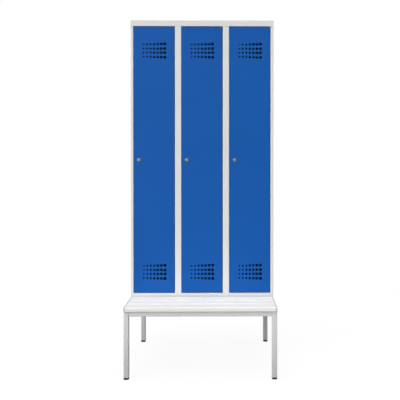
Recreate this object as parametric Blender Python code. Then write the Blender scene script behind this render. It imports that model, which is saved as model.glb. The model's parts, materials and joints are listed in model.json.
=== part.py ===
"""Steel clothes locker with three compartments, standing on a bench frame.

The cabinet is folded sheet on a welded frame of square tube, and three slats
on the front of the frame make the bench. Each compartment has a perforated
door on pivot pins, a cam lock, a hat shelf and a coat rail with sliding hooks.

Metres, +Z up. The origin is on the floor, in the middle of the overall box,
and the doors face -Y. The locker is shown with its doors shut and unlocked.
"""

import math

import bmesh
import bpy
from mathutils import Vector

for old in list(bpy.data.objects):
    bpy.data.objects.remove(old)


# Overall sizes
CABINET_WIDTH = 0.900
CABINET_HEIGHT = 1.765
CABINET_DEPTH = 0.500
FRAME_HEIGHT = 0.400
BENCH_PROJECTION = 0.300
SEAT_OVERHANG = 0.010
FRAME_INSET = 0.002
COMPARTMENT_NAMES = ("left", "middle", "right")

# Shared allowances
SEAM = 0.0003
OVERRUN = 0.003
RUNNING_CLEARANCE = 0.0002

# Square tube of the bench frame
TUBE_SIZE = 0.030
TUBE_WALL = 0.002
TUBE_RADIUS = 0.003
TUBE_CORNER_STEPS = 2

# Plastic plugs in the legs
FOOT_HEIGHT = 0.012
FOOT_CHAMFER = 0.003
FOOT_STUB_LENGTH = 0.022
FOOT_RIB_PROUD = 0.0008
FOOT_RIB_HEIGHT = 0.004
FOOT_STUB_TAPER = 0.003

# Seat slats
SLAT_COUNT = 3
SLAT_THICKNESS = 0.024
SLAT_GAP = 0.012
SLAT_BACK_GAP = 0.014
SLAT_RADIUS = 0.006
SLAT_CORNER_STEPS = 3

# Folded sheet of the cabinet
SHEET = 0.0008
FOLD_INSIDE = 0.001
POST_WIDTH = 0.018
MULLION_WIDTH = 0.040
HEADER_HEIGHT = 0.038
SILL_HEIGHT = 0.045
REBATE_DEPTH = 0.024
STOP_WIDTH = 0.012
REAR_FLANGE = 0.016
PARTITION_FLANGE = 0.014
PAN_FLANGE = 0.026
WALL_FLANGE = 0.020

# Doors
DOOR_GAP = 0.0025
DOOR_THICKNESS = 0.018
DOOR_LIP = 0.012
HINGE_INSET = 0.010
HINGE_DEPTH = 0.008

# Ventilation holes, punched square, which grow towards the hinge
VENT_ROWS = 4
VENT_COLUMNS = 7
VENT_COLUMN_PITCH = 0.0221
VENT_ROW_PITCH = 0.0254
VENT_FAN = 0.0037
VENT_SMALL_SIZE = 0.0088
VENT_LARGE_SIZE = 0.0166
VENT_CORNER_RADIUS = 0.0012
VENT_CORNER_STEPS = 1
VENT_TOP_DISTANCE = 0.151
VENT_BOTTOM_DISTANCE = 0.1315

# Stiffener spot-welded inside each door, between the holes and the hinge
STIFFENER_WIDTH = 0.016
STIFFENER_DEPTH = 0.013
STIFFENER_FLANGE = 0.008
STIFFENER_INSET = 0.0285
STIFFENER_END_SPACE = 0.030

# Pivot pins and the collars that run on them
PIN_RADIUS = 0.003
PIN_REACH = 0.012
PIN_HEAD_RADIUS = 0.005
PIN_HEAD_HEIGHT = 0.002
PIN_SIDES = 8
COLLAR_WALL = 0.001
COLLAR_LENGTH = 0.008

# Cam locks
LOCK_INSET = 0.033
LOCK_SIDES = 12
ROSETTE_RADIUS = 0.0120
ROSETTE_PROUD = 0.003
ROSETTE_CHAMFER = 0.0012
BARREL_RADIUS = 0.0095
LOCK_NUT_RADIUS = 0.0135
LOCK_NUT_HEIGHT = 0.005
PLUG_RADIUS = 0.006
PLUG_PROUD = 0.0006
KEYWAY_WIDTH = 0.0016
KEYWAY_HEIGHT = 0.0078
KEYWAY_DEPTH = 0.006
CAM_THICKNESS = 0.002
CAM_LENGTH = 0.032
CAM_WIDTH = 0.014
CAM_TIP_STEPS = 4
CAM_RIVET_RADIUS = 0.003
CAM_RIVET_HEAD_RADIUS = 0.005
CAM_RIVET_HEAD_HEIGHT = 0.0015

# Hat shelves
HAT_SPACE = 0.250
SHELF_SETBACK = 0.052
SHELF_DROP = 0.022
SHELF_LIP = 0.010
SHELF_REAR_DROP = 0.015

# Coat rails, the shelves' cheeks that hold them, and the hooks
RAIL_DROP = 0.062
RAIL_HALF_WIDTH = 0.0075
RAIL_HALF_HEIGHT = 0.015
RAIL_WALL = 0.0012
RAIL_END_STEPS = 4
CHEEK_HALF_TOP = 0.045
CHEEK_HALF_FOOT = 0.018
CHEEK_BELOW_RAIL = 0.026
HOOKS_PER_RAIL = 2
HOOK_SPACING = 0.120
HOOK_WIDTH = 0.014
HOOK_WALL = 0.003
HOOK_STEM_HALF = 0.004
HOOK_STEM_LENGTH = 0.020
HOOK_INNER_RADIUS = 0.008
HOOK_PRONG = 0.006
HOOK_PRONG_RISE = 0.010
HOOK_ARC_STEPS = 4

SMOOTH_ANGLE = math.radians(40)
DIRECTIONS = {"X": Vector((1, 0, 0)), "Y": Vector((0, 1, 0)), "Z": Vector((0, 0, 1))}

# Places that follow from the sizes
HALF_WIDTH = CABINET_WIDTH / 2
BACK_Y = (SEAT_OVERHANG + BENCH_PROJECTION + CABINET_DEPTH) / 2
FRONT_Y = BACK_Y - CABINET_DEPTH
FRAME_FRONT_Y = FRONT_Y - BENCH_PROJECTION
SEAT_FRONT_Y = FRAME_FRONT_Y - SEAT_OVERHANG
BASE_Z = FRAME_HEIGHT + SEAM
TOP_Z = BASE_Z + CABINET_HEIGHT
SILL_Z = BASE_Z + SILL_HEIGHT
HEADER_Z = TOP_Z - HEADER_HEIGHT
STOP_Y = FRONT_Y + REBATE_DEPTH
BACK_SHEET_Y = BACK_Y - SHEET - SEAM
INSIDE_BACK_Y = BACK_SHEET_Y - SHEET - SEAM
INSIDE_HALF_WIDTH = HALF_WIDTH - SHEET - SEAM
FOLD_RADIUS = FOLD_INSIDE + SHEET
FOLD_REACH = FOLD_RADIUS + SHEET
COMPARTMENTS = len(COMPARTMENT_NAMES)
OPENING_WIDTH = (
    CABINET_WIDTH - 2 * POST_WIDTH - (COMPARTMENTS - 1) * MULLION_WIDTH
) / COMPARTMENTS
OPENING_PITCH = OPENING_WIDTH + MULLION_WIDTH
DOOR_WIDTH = OPENING_WIDTH - 2 * DOOR_GAP
DOOR_HEIGHT = HEADER_Z - SILL_Z - 2 * DOOR_GAP
CAM_Y = REBATE_DEPTH + SHEET + 2 * SEAM
SHELF_Z = HEADER_Z - HAT_SPACE
RAIL_Z = SHELF_Z - RAIL_DROP
SHELF_FRONT_Y = FRONT_Y + SHELF_SETBACK
SHELF_BACK_Y = INSIDE_BACK_Y - FOLD_REACH
RAIL_Y = (SHELF_FRONT_Y + SHELF_BACK_Y) / 2


def opening_left(index):
    """x of the left edge of a door opening, counted from the left."""
    return -HALF_WIDTH + POST_WIDTH + index * OPENING_PITCH


def mullion_x(index):
    """x of the middle of the mullion to the right of an opening."""
    return opening_left(index) + OPENING_WIDTH + MULLION_WIDTH / 2


def compartment_walls(index):
    """x of the left and right wall faces inside a compartment."""
    left = -HALF_WIDTH + SHEET
    right = HALF_WIDTH - SHEET
    if index > 0:
        left = mullion_x(index - 1) + SHEET / 2
    if index < COMPARTMENTS - 1:
        right = mullion_x(index) - SHEET / 2
    return left, right


# Materials
def material(name, colour, roughness, metallic=0.0):
    made = bpy.data.materials.new(name)
    made.use_nodes = True
    shader = made.node_tree.nodes["Principled BSDF"]
    shader.inputs["Base Color"].default_value = (*colour, 1.0)
    shader.inputs["Roughness"].default_value = roughness
    shader.inputs["Metallic"].default_value = metallic
    made.diffuse_color = (*colour, 1.0)
    return made


GREY_PAINT = material("light_grey_paint", (0.67, 0.68, 0.67), 0.45)
BLUE_PAINT = material("blue_paint", (0.016, 0.105, 0.392), 0.45)
SEAT_PVC = material("seat_pvc", (0.84, 0.84, 0.84), 0.5)
BLACK_PLASTIC = material("black_plastic", (0.012, 0.012, 0.013), 0.5)
ZINC_STEEL = material("zinc_steel", (0.62, 0.63, 0.65), 0.3, 1.0)
CHROME = material("chrome", (0.78, 0.79, 0.80), 0.15, 1.0)
BRASS = material("brass", (0.55, 0.40, 0.22), 0.3, 1.0)


# Modelling helpers
def point_at(axis, u, v, along):
    """A point of a section drawn square to an axis, at a distance along it."""
    if axis == "X":
        return Vector((along, u, v))
    if axis == "Y":
        return Vector((u, along, v))
    return Vector((u, v, along))


def finished(name, bm, paint):
    """A named object from a closed bmesh, with its faces turned outwards."""
    bmesh.ops.recalc_face_normals(bm, faces=bm.faces)
    mesh = bpy.data.meshes.new(name)
    bm.to_mesh(mesh)
    bm.free()
    mesh.materials.append(paint)
    mesh.shade_smooth()
    mesh.set_sharp_from_angle(angle=SMOOTH_ANGLE)
    made = bpy.data.objects.new(name, mesh)
    bpy.context.scene.collection.objects.link(made)
    return made


def verts_in(result):
    return [g for g in result["geom"] if isinstance(g, bmesh.types.BMVert)]


def add_prism(bm, outlines, axis, start, end):
    """Extrudes a section along an axis: one outline, or an outer and an inner one."""
    loops = []
    for outline in outlines:
        corners = [bm.verts.new(point_at(axis, u, v, start)) for u, v in outline]
        loops.append([
            bm.edges.new((corners[i - 1], corners[i])) for i in range(len(corners))
        ])
    edges = [edge for loop in loops for edge in loop]
    if len(loops) == 1:
        faces = bmesh.ops.contextual_create(bm, geom=edges)["faces"]
    else:
        faces = bmesh.ops.bridge_loops(bm, edges=edges)["faces"]
    grown = bmesh.ops.extrude_face_region(bm, geom=faces)
    offset = DIRECTIONS[axis] * (end - start)
    bmesh.ops.translate(bm, vec=offset, verts=verts_in(grown))


def prism(name, outlines, axis, start, end, paint):
    bm = bmesh.new()
    add_prism(bm, outlines, axis, start, end)
    return finished(name, bm, paint)


def add_turned(bm, profile, sides, axis, centre, bored=False):
    """Spins a profile of (radius, height) about an axis; a bored one is a closed ring."""
    across = DIRECTIONS["X" if axis != "X" else "Y"]
    stations = [centre + across * r + DIRECTIONS[axis] * h for r, h in profile]
    points = [bm.verts.new(station) for station in stations]
    if not bored:
        ends = [centre + DIRECTIONS[axis] * profile[i][1] for i in (0, -1)]
        points = [bm.verts.new(ends[0]), *points, bm.verts.new(ends[1])]
    pairs = list(zip(points, points[1:]))
    if bored:
        pairs.append((points[-1], points[0]))
    edges = [bm.edges.new(pair) for pair in pairs]
    bmesh.ops.spin(
        bm, geom=points + edges, cent=centre, axis=DIRECTIONS[axis],
        angle=2 * math.pi, steps=sides, use_duplicate=False,
    )
    bmesh.ops.remove_doubles(bm, verts=bm.verts, dist=RUNNING_CLEARANCE / 10)


def skin_between(bm, loops):
    """Joins each loop of corners to the next, and caps the first and the last."""
    for one, two in zip(loops, loops[1:]):
        for i in range(len(one)):
            bm.faces.new((one[i - 1], one[i], two[i], two[i - 1]))
    bm.faces.new(loops[0])
    bm.faces.new(loops[-1])


def turned(name, profile, sides, axis, centre, paint, bored=False):
    bm = bmesh.new()
    add_turned(bm, profile, sides, axis, centre, bored)
    return finished(name, bm, paint)


def bore_radius(radius, sides, clearance):
    """Radius of a faceted hole whose flats clear a round pin."""
    return (radius + clearance) / math.cos(math.pi / sides)


def circle(u, v, radius, sides):
    turns = [2 * math.pi * (i + 0.5) / sides for i in range(sides)]
    return [(u + radius * math.cos(t), v + radius * math.sin(t)) for t in turns]


def arc(u, v, radius, start, end, steps):
    """Points on an arc, with both ends, in degrees."""
    turns = [math.radians(start + (end - start) * i / steps) for i in range(steps + 1)]
    return [(u + radius * math.cos(t), v + radius * math.sin(t)) for t in turns]


def rectangle(low_u, low_v, high_u, high_v):
    return [(low_u, low_v), (high_u, low_v), (high_u, high_v), (low_u, high_v)]


def rounded_rectangle(low_u, low_v, high_u, high_v, radius, steps):
    centres = rectangle(low_u + radius, low_v + radius, high_u - radius, high_v - radius)
    outline = []
    for quarter, (u, v) in enumerate(centres):
        outline += arc(u, v, radius, 180 + 90 * quarter, 270 + 90 * quarter, steps)
    return outline


def stadium(u, v, half_width, half_height):
    """An upright oval with round ends."""
    rise = half_height - half_width
    upper = arc(u, v + rise, half_width, 0, 180, RAIL_END_STEPS)
    lower = arc(u, v - rise, half_width, 180, 360, RAIL_END_STEPS)
    return upper + lower


def cutter_object(name, bm):
    """A closed shape that only cuts others."""
    made = finished(name, bm, GREY_PAINT)
    made.hide_render = True
    made.display_type = "WIRE"
    return made


def combine(target, tool, operation):
    """Applies a Boolean to the target and removes the tool."""
    modifier = target.modifiers.new(operation.lower(), "BOOLEAN")
    modifier.operation = operation
    modifier.object = tool
    graph = bpy.context.evaluated_depsgraph_get()
    result = bpy.data.meshes.new_from_object(target.evaluated_get(graph))
    target.modifiers.clear()
    old = target.data
    target.data = result
    target.data.name = target.name
    bpy.data.meshes.remove(old)
    bpy.data.objects.remove(tool)
    return target


def cut_boxes(target, boxes):
    bm = bmesh.new()
    for low, high in boxes:
        outline = rectangle(low[0], low[1], high[0], high[1])
        add_prism(bm, [outline], "Z", low[2], high[2])
    return combine(target, cutter_object(target.name + "_notches", bm), "DIFFERENCE")


def punch(target, axis, outlines, start, end):
    """Cuts closed outlines through the target, between two planes."""
    bm = bmesh.new()
    for outline in outlines:
        add_prism(bm, [outline], axis, start, end)
    return combine(target, cutter_object(target.name + "_punch", bm), "DIFFERENCE")


def drill(target, axis, holes, sides, start, end):
    """Cuts holes of (u, v, radius) through the target, between two planes."""
    outlines = [circle(u, v, radius, sides) for u, v, radius in holes]
    return punch(target, axis, outlines, start, end)


def folded_outline(path):
    """Section of a sheet folded along a path of corners, lying to the path's right."""
    rounded = [Vector(path[0])]
    for before, corner, after in zip(path, path[1:], path[2:]):
        at = Vector(corner)
        rounded.append(at + (Vector(before) - at).normalized() * FOLD_RADIUS)
        rounded.append(at + (Vector(after) - at).normalized() * FOLD_RADIUS)
    rounded.append(Vector(path[-1]))
    headings = [(b - a).normalized() for a, b in zip(rounded, rounded[1:])]
    rights = [Vector((h.y, -h.x)) for h in headings]
    inner = [rounded[0] + rights[0] * SHEET]
    for point, one, two in zip(rounded[1:], rights, rights[1:]):
        middle = (one + two).normalized()
        inner.append(point + middle * (SHEET / middle.dot(one)))
    inner.append(rounded[-1] + rights[-1] * SHEET)
    return [tuple(p) for p in rounded + inner[::-1]]


def folded_sheet(name, path, axis, start, end, paint=GREY_PAINT):
    return prism(name, [folded_outline(path)], axis, start, end, paint)


def pivot_empty(name, place):
    """An empty on a joint's axis, which carries the pieces that move with it."""
    made = bpy.data.objects.new(name, None)
    made.location = place
    bpy.context.scene.collection.objects.link(made)
    return made


def carried(piece, carrier):
    piece.parent = carrier
    return piece


def copy_of(piece, name):
    made = bpy.data.objects.new(name, piece.data)
    bpy.context.scene.collection.objects.link(made)
    return made


# Bench frame
FRAME_HALF_WIDTH = HALF_WIDTH - FRAME_INSET
LEG_X = FRAME_HALF_WIDTH - TUBE_SIZE / 2
LEG_FRONT_Y = FRAME_FRONT_Y + TUBE_SIZE / 2
LEG_REAR_Y = BACK_Y - TUBE_SIZE / 2
MIDDLE_RAIL_Y = FRONT_Y + TUBE_SIZE / 2
RAIL_CENTRE_Z = FRAME_HEIGHT - TUBE_SIZE / 2
SIDE_RAIL_ENDS = (LEG_FRONT_Y + TUBE_SIZE / 2 + SEAM, LEG_REAR_Y - TUBE_SIZE / 2 - SEAM)
CROSS_RAIL_END = LEG_X - TUBE_SIZE / 2 - SEAM


def square_tube(name, axis, u, v, start, end):
    half = TUBE_SIZE / 2
    bore = half - TUBE_WALL
    outer = rounded_rectangle(
        u - half, v - half, u + half, v + half, TUBE_RADIUS, TUBE_CORNER_STEPS
    )
    inner = rounded_rectangle(
        u - bore, v - bore, u + bore, v + bore,
        max(TUBE_RADIUS - TUBE_WALL, RUNNING_CLEARANCE), TUBE_CORNER_STEPS,
    )
    return prism(name, [outer, inner], axis, start, end, GREY_PAINT)


def build_legs():
    for row, y in (("front", LEG_FRONT_Y), ("rear", LEG_REAR_Y)):
        for side, x in (("left", -LEG_X), ("right", LEG_X)):
            square_tube(f"leg_{row}_{side}", "Z", x, y, FOOT_HEIGHT + SEAM, FRAME_HEIGHT)


def build_foot_plugs():
    """Ribbed plugs, one pressed into the open end of each leg."""
    cap = TUBE_SIZE / 2
    rib = cap - TUBE_WALL - SEAM
    stub = rib - FOOT_RIB_PROUD
    rib_start = FOOT_HEIGHT + FOOT_RIB_HEIGHT
    rib_end = rib_start + FOOT_RIB_HEIGHT
    top = FOOT_HEIGHT + FOOT_STUB_LENGTH
    stations = [
        (0, cap - FOOT_CHAMFER),
        (FOOT_CHAMFER, cap),
        (FOOT_HEIGHT, cap),
        (FOOT_HEIGHT, stub),
        (rib_start, stub),
        (rib_start, rib),
        (rib_end, rib),
        (rib_end, stub),
        (top - FOOT_STUB_TAPER, stub),
        (top, stub - FOOT_STUB_TAPER),
    ]
    bm = bmesh.new()
    loops = []
    for z, half in stations:
        radius = TUBE_RADIUS - TUBE_WALL
        outline = rounded_rectangle(-half, -half, half, half, radius, TUBE_CORNER_STEPS)
        loops.append([bm.verts.new((x, y, z)) for x, y in outline])
    skin_between(bm, loops)
    plug = finished("foot_plug_pattern", bm, BLACK_PLASTIC)
    for row, y in (("front", LEG_FRONT_Y), ("rear", LEG_REAR_Y)):
        for side, x in (("left", -LEG_X), ("right", LEG_X)):
            copy_of(plug, f"foot_plug_{row}_{side}").location = (x, y, 0)
    bpy.data.objects.remove(plug)


# Seat slats, front to back
SEAT_DEPTH = FRONT_Y - SLAT_BACK_GAP - SEAT_FRONT_Y
SLAT_WIDTH = (SEAT_DEPTH - (SLAT_COUNT - 1) * SLAT_GAP) / SLAT_COUNT
SLAT_NAMES = ("seat_slat_front", "seat_slat_middle", "seat_slat_rear")


def slat_front(index):
    return SEAT_FRONT_Y + index * (SLAT_WIDTH + SLAT_GAP)


def build_frame_rails():
    """Rails welded between the legs, with one under the cabinet's front."""
    ends = (-CROSS_RAIL_END, CROSS_RAIL_END)
    square_tube("base_rail_front", "X", LEG_FRONT_Y, RAIL_CENTRE_Z, *ends)
    square_tube("base_rail_middle", "X", MIDDLE_RAIL_Y, RAIL_CENTRE_Z, *ends)
    square_tube("base_rail_rear", "X", LEG_REAR_Y, RAIL_CENTRE_Z, *ends)
    square_tube("base_rail_left", "Y", -LEG_X, RAIL_CENTRE_Z, *SIDE_RAIL_ENDS)
    square_tube("base_rail_right", "Y", LEG_X, RAIL_CENTRE_Z, *SIDE_RAIL_ENDS)
    strut_front = LEG_FRONT_Y + TUBE_SIZE / 2 + SEAM
    square_tube("seat_strut", "Y", 0, RAIL_CENTRE_Z, strut_front, FRONT_Y - SEAM)


def build_slats():
    bottom = FRAME_HEIGHT + SEAM
    for index, name in enumerate(SLAT_NAMES):
        front = slat_front(index)
        outline = rounded_rectangle(
            front, bottom, front + SLAT_WIDTH, bottom + SLAT_THICKNESS,
            SLAT_RADIUS, SLAT_CORNER_STEPS,
        )
        prism(name, [outline], "X", -FRAME_HALF_WIDTH, FRAME_HALF_WIDTH, SEAT_PVC)


# Cabinet
def build_side_panel(name, side):
    """Wall with a post and stop folded at the front and a flange at the back."""
    post = HALF_WIDTH - POST_WIDTH
    path = [
        (-post + STOP_WIDTH, STOP_Y),
        (-post, STOP_Y),
        (-post, FRONT_Y),
        (-HALF_WIDTH, FRONT_Y),
        (-HALF_WIDTH, BACK_Y),
        (-HALF_WIDTH + REAR_FLANGE, BACK_Y),
    ]
    outline = [(-side * x, y) for x, y in folded_outline(path)]
    panel = prism(name, [outline], "Z", BASE_Z, TOP_Z, GREY_PAINT)
    wall = side * (HALF_WIDTH - SHEET)
    reach = side * (post - STOP_WIDTH - OVERRUN)
    low_x, high_x = sorted((wall, reach))
    front = FRONT_Y - OVERRUN
    back = STOP_Y + SHEET + OVERRUN
    cut_boxes(panel, [
        ((low_x, front, HEADER_Z - SEAM), (high_x, back, TOP_Z + OVERRUN)),
        ((low_x, front, BASE_Z - OVERRUN), (high_x, back, SILL_Z + SEAM)),
    ])
    return add_wall_flange(panel, side)


def add_wall_flange(panel, side):
    """The flange folded in along the wall's foot, which stands on the side rail."""
    outer = side * (HALF_WIDTH - SHEET / 2)
    inner = side * (HALF_WIDTH - WALL_FLANGE)
    low_x, high_x = sorted((outer, inner))
    front = FRONT_Y + PAN_FLANGE + SHEET + SEAM
    back = INSIDE_BACK_Y - PAN_FLANGE - SHEET - SEAM
    bm = bmesh.new()
    add_prism(bm, [rectangle(low_x, front, high_x, back)], "Z", BASE_Z, BASE_Z + SHEET)
    return combine(panel, cutter_object(panel.name + "_flange", bm), "UNION")


def build_mullion(name, x):
    """Post between two doors, a hat section with a stop on each side."""
    half = MULLION_WIDTH / 2
    path = [
        (x + half + STOP_WIDTH, STOP_Y),
        (x + half, STOP_Y),
        (x + half, FRONT_Y),
        (x - half, FRONT_Y),
        (x - half, STOP_Y),
        (x - half - STOP_WIDTH, STOP_Y),
    ]
    return folded_sheet(name, path, "Z", SILL_Z + SEAM, HEADER_Z - SEAM)


def build_partition(name, x):
    """Wall between compartments, folded against the mullion and the back sheet."""
    wall = x - SHEET / 2
    front = FRONT_Y + SHEET + SEAM + SHEET
    path = [
        (wall - PARTITION_FLANGE, front),
        (wall, front),
        (wall, INSIDE_BACK_Y),
        (wall + PARTITION_FLANGE, INSIDE_BACK_Y),
    ]
    partition = folded_sheet(name, path, "Z", SILL_Z + SEAM, TOP_Z - SHEET - SEAM)
    left = wall - PARTITION_FLANGE - OVERRUN
    right = wall + PARTITION_FLANGE + OVERRUN
    above = TOP_Z + OVERRUN
    return cut_boxes(partition, [
        ((left, FRONT_Y, HEADER_Z - SEAM), (right, STOP_Y + SHEET + SEAM, above)),
        (
            (left, INSIDE_BACK_Y - FOLD_REACH, TOP_Z - REAR_FLANGE - SEAM),
            (right, INSIDE_BACK_Y + OVERRUN, above),
        ),
    ])


def build_back_panel():
    reach = HALF_WIDTH - FOLD_REACH
    outline = rectangle(-reach, BACK_SHEET_Y - SHEET, reach, BACK_SHEET_Y)
    return prism("back_panel", [outline], "Z", BASE_Z, TOP_Z, GREY_PAINT)


def pin_x(index):
    return opening_left(index) + OPENING_WIDTH - DOOR_GAP - HINGE_INSET


def pin_holes():
    radius = bore_radius(PIN_RADIUS, PIN_SIDES, RUNNING_CLEARANCE)
    return [
        (pin_x(index), FRONT_Y + HINGE_DEPTH, radius) for index in range(COMPARTMENTS)
    ]


def build_roof_panel():
    """Roof with the header and its door stop folded down at the front."""
    path = [
        (STOP_Y, HEADER_Z - STOP_WIDTH),
        (STOP_Y, HEADER_Z),
        (FRONT_Y, HEADER_Z),
        (FRONT_Y, TOP_Z),
        (INSIDE_BACK_Y, TOP_Z),
        (INSIDE_BACK_Y, TOP_Z - REAR_FLANGE),
    ]
    roof = folded_sheet("roof_panel", path, "X", -INSIDE_HALF_WIDTH, INSIDE_HALF_WIDTH)
    drill(roof, "Z", pin_holes(), PIN_SIDES, HEADER_Z - OVERRUN, HEADER_Z + OVERRUN)
    notches = []
    for index in range(COMPARTMENTS + 1):
        left = opening_left(index) - MULLION_WIDTH
        right = opening_left(index)
        if index == 0:
            left = -HALF_WIDTH - STOP_WIDTH - OVERRUN
        if index == COMPARTMENTS:
            right = HALF_WIDTH + STOP_WIDTH + OVERRUN
        low = (
            left - STOP_WIDTH - SEAM,
            STOP_Y - FOLD_RADIUS - SEAM,
            HEADER_Z - STOP_WIDTH - OVERRUN,
        )
        high = (
            right + STOP_WIDTH + SEAM,
            STOP_Y + SHEET + OVERRUN,
            HEADER_Z + SHEET + OVERRUN,
        )
        notches.append((low, high))
    return cut_boxes(roof, notches)


def build_floor_pan():
    """Floor with the sill folded down at the front and feet turned in below."""
    path = [
        (FRONT_Y + PAN_FLANGE, BASE_Z),
        (FRONT_Y, BASE_Z),
        (FRONT_Y, SILL_Z),
        (INSIDE_BACK_Y, SILL_Z),
        (INSIDE_BACK_Y, BASE_Z),
        (INSIDE_BACK_Y - PAN_FLANGE, BASE_Z),
    ]
    pan = folded_sheet("floor_pan", path, "X", -INSIDE_HALF_WIDTH, INSIDE_HALF_WIDTH)
    return drill(pan, "Z", pin_holes(), PIN_SIDES, SILL_Z - OVERRUN, SILL_Z + OVERRUN)


def build_pivot_pins():
    """Headed pins, one down from the header and one up from the sill for each door."""
    header_top = HEADER_Z + SHEET + SEAM
    header_tip = HEADER_Z - DOOR_GAP - PIN_REACH
    upper = [
        (PIN_HEAD_RADIUS, header_top + PIN_HEAD_HEIGHT),
        (PIN_HEAD_RADIUS, header_top),
        (PIN_RADIUS, header_top),
        (PIN_RADIUS, header_tip),
    ]
    sill_bottom = SILL_Z - SHEET - SEAM
    collar = SILL_Z + SEAM
    collar_top = SILL_Z + DOOR_GAP - SEAM
    lower = [
        (PIN_HEAD_RADIUS, sill_bottom - PIN_HEAD_HEIGHT),
        (PIN_HEAD_RADIUS, sill_bottom),
        (PIN_RADIUS, sill_bottom),
        (PIN_RADIUS, collar),
        (PIN_HEAD_RADIUS, collar),
        (PIN_HEAD_RADIUS, collar_top),
        (PIN_RADIUS, collar_top),
        (PIN_RADIUS, SILL_Z + DOOR_GAP + PIN_REACH),
    ]
    for index, place in enumerate(COMPARTMENT_NAMES):
        centre = Vector((pin_x(index), FRONT_Y + HINGE_DEPTH, 0))
        turned(f"pivot_pin_upper_{place}", upper, PIN_SIDES, "Z", centre, ZINC_STEEL)
        turned(f"pivot_pin_lower_{place}", lower, PIN_SIDES, "Z", centre, ZINC_STEEL)


# Doors, drawn about the hinge axis with z = 0 at the door's lower edge
DOOR_LEFT = HINGE_INSET - DOOR_WIDTH
DOOR_FRONT = -HINGE_DEPTH
LOCK_X = DOOR_LEFT + LOCK_INSET
LOCK_Z = DOOR_HEIGHT / 2


def vent_outlines(middle_x, middle_z):
    """Rounded squares of one field of holes about its middle."""
    outlines = []
    for column in range(VENT_COLUMNS):
        share = column / (VENT_COLUMNS - 1)
        x = (column - (VENT_COLUMNS - 1) / 2) * VENT_COLUMN_PITCH
        half = (VENT_SMALL_SIZE + (VENT_LARGE_SIZE - VENT_SMALL_SIZE) * share) / 2
        radius = min(VENT_CORNER_RADIUS, half)
        for row in range(VENT_ROWS):
            z = (row - (VENT_ROWS - 1) / 2) * VENT_ROW_PITCH
            if row in (0, VENT_ROWS - 1):
                z += math.copysign(VENT_FAN * share, z)
            u = middle_x + x
            v = middle_z + z
            outlines.append(rounded_rectangle(
                u - half, v - half, u + half, v + half, radius, VENT_CORNER_STEPS
            ))
    return outlines


def tray(bm):
    """Door skin: a front face with sides folded back and lips folded in."""
    front = rectangle(DOOR_LEFT, 0, HINGE_INSET, DOOR_HEIGHT)
    face = bm.faces.new([bm.verts.new((x, DOOR_FRONT, z)) for x, z in front])
    sides = bmesh.ops.extrude_edge_only(bm, edges=face.edges)
    back = Vector((0, DOOR_THICKNESS, 0))
    bmesh.ops.translate(bm, vec=back, verts=verts_in(sides))
    rim = [g for g in sides["geom"] if isinstance(g, bmesh.types.BMEdge) and g.is_boundary]
    lips = bmesh.ops.extrude_edge_only(bm, edges=rim)
    middle = Vector(((DOOR_LEFT + HINGE_INSET) / 2, 0, DOOR_HEIGHT / 2))
    for corner in verts_in(lips):
        corner.co.x -= math.copysign(DOOR_LIP, corner.co.x - middle.x)
        corner.co.z -= math.copysign(DOOR_LIP, corner.co.z - middle.z)
    bmesh.ops.recalc_face_normals(bm, faces=bm.faces)
    folds = list(face.edges)
    bmesh.ops.bevel(bm, geom=folds, offset=FOLD_RADIUS, segments=1, affect="EDGES")


def make_door_mesh():
    bm = bmesh.new()
    tray(bm)
    mesh = bpy.data.meshes.new("door")
    bm.to_mesh(mesh)
    bm.free()
    mesh.materials.append(BLUE_PAINT)
    door = bpy.data.objects.new("door_pattern", mesh)
    bpy.context.scene.collection.objects.link(door)
    thicken = door.modifiers.new("sheet", "SOLIDIFY")
    thicken.thickness = SHEET
    thicken.offset = -1
    thicken.use_even_offset = True
    middle_x = (DOOR_LEFT + HINGE_INSET) / 2
    vents = vent_outlines(middle_x, VENT_BOTTOM_DISTANCE)
    vents += vent_outlines(middle_x, DOOR_HEIGHT - VENT_TOP_DISTANCE)
    front = DOOR_FRONT - OVERRUN
    behind_skin = DOOR_FRONT + SHEET + OVERRUN
    punch(door, "Y", vents, front, behind_skin)
    barrel = bore_radius(BARREL_RADIUS, LOCK_SIDES, RUNNING_CLEARANCE)
    drill(door, "Y", [(LOCK_X, LOCK_Z, barrel)], LOCK_SIDES, front, behind_skin)
    door.data.name = "door"
    return add_pivot_collars(door)


def add_pivot_collars(door):
    """Collars drawn inwards round the pivot holes in the lower and upper edges."""
    bore = bore_radius(PIN_RADIUS, PIN_SIDES, RUNNING_CLEARANCE)
    outer = bore + COLLAR_WALL
    ends = ((0, COLLAR_LENGTH), (DOOR_HEIGHT - COLLAR_LENGTH, DOOR_HEIGHT))
    collars = bmesh.new()
    bores = bmesh.new()
    for low, high in ends:
        add_prism(collars, [circle(0, 0, outer, PIN_SIDES)], "Z", low, high)
        low -= OVERRUN
        high += OVERRUN
        add_prism(bores, [circle(0, 0, bore, PIN_SIDES)], "Z", low, high)
    combine(door, cutter_object("pivot_collars", collars), "UNION")
    return combine(door, cutter_object("pivot_bores", bores), "DIFFERENCE")


def make_stiffener():
    """Hat section that lies on the back of the skin beside the holes."""
    flat = DOOR_FRONT + SHEET + SEAM
    crown = flat + STIFFENER_DEPTH
    right = HINGE_INSET - STIFFENER_INSET
    left = right - STIFFENER_WIDTH
    path = [
        (left - STIFFENER_FLANGE, flat + SHEET),
        (left, flat + SHEET),
        (left, crown),
        (right, crown),
        (right, flat + SHEET),
        (right + STIFFENER_FLANGE, flat + SHEET),
    ]
    low = STIFFENER_END_SPACE
    high = DOOR_HEIGHT - STIFFENER_END_SPACE
    return folded_sheet("stiffener_pattern", path, "Z", low, high, BLUE_PAINT)


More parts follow.
